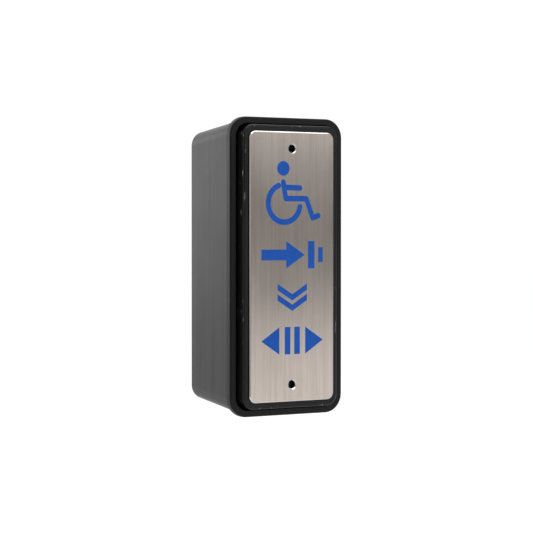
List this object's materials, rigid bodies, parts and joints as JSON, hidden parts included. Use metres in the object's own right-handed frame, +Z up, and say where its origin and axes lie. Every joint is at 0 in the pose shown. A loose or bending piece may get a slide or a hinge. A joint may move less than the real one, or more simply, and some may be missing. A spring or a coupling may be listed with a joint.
{
  "type": "pedestrian push button",
  "caption": "Wall-mounted pedestrian push button: a brushed steel push plate on a sprung block in a black surface box, with a snap-action switch inside.",
  "frame": {"origin": "middle of the box's rear face, on the wall", "axes": "+Z up; +X to the right of a person who faces the plate; +Y into the wall, so the plate faces -Y"},
  "size_m": [0.059, 0.048, 0.133],
  "materials": {
    "box_plastic": "fine satin moulded ABS, black",
    "block_plastic": "satin moulded ABS, black",
    "brushed_stainless": "brushed along its length, warm grey",
    "blue_enamel": "blue enamel fill",
    "foam_tape": "double-sided foam sheet",
    "insert_brass": "machined brass",
    "plated_steel": "bright zinc-plated steel",
    "spring_steel": "drawn spring steel",
    "bush_acetal": "natural acetal",
    "black_rubber": "soft black rubber",
    "bracket_steel": "galvanised sheet steel",
    "switch_moulding": "dark phenolic moulding",
    "cover_moulding": "brown-red moulding",
    "plunger_red": "red acetal",
    "contact_bronze": "spring bronze with silver contact",
    "terminal_brass": "tinned brass"
  },
  "bodies": {
    "housing": {"back_box": "box_plastic", "threaded_inserts": "insert_brass", "shoulder_screws": "plated_steel", "spring_washers": "plated_steel", "return_springs": "spring_steel", "stop_pads": "black_rubber", "switch_bracket": "bracket_steel", "bracket_inserts": "insert_brass", "bracket_screws": "plated_steel", "switch_case": "switch_moulding", "switch_cover": "cover_moulding", "common_terminal": "terminal_brass", "normally_closed_terminal": "terminal_brass", "normally_open_terminal": "terminal_brass", "contact_strip": "contact_bronze", "lever_pin": "plated_steel", "switch_screws": "plated_steel", "switch_nuts": "plated_steel", "cable_grommet": "black_rubber"},
    "button": {"button_block": "block_plastic", "guide_bushes": "bush_acetal", "plate_adhesive": "foam_tape", "face_plate": "brushed_stainless", "access_symbol": "blue_enamel", "legend_symbols": "blue_enamel", "adjuster_insert": "insert_brass", "adjuster_screw": "plated_steel", "adjuster_nut": "plated_steel"},
    "lever": {"switch_lever": "spring_steel"},
    "plunger": {"switch_plunger": "plunger_red"}
  },
  "joints": [
    {"name": "button_press", "type": "slide", "parent": "housing", "child": "button", "axis": [0, 1, 0], "range_m": [0, 0.0023], "stiffness_N_per_m": 3000, "springref_m": -0.003, "deforming": ["return_springs"]},
    {"name": "lever_swing", "type": "hinge", "parent": "housing", "child": "lever", "pos_m": [0, -0.03353, 0.02], "axis": [1, 0, 0], "range_deg": [0, 7]},
    {"name": "plunger_press", "type": "slide", "parent": "housing", "child": "plunger", "axis": [0, 1, 0], "range_m": [0, 0.0009]}
  ],
  "couplings": [
    {"joint": "lever_swing", "follows": "button_press", "rad_per_m": 50},
    {"joint": "plunger_press", "follows": "button_press", "ratio": 0.375}
  ]
}
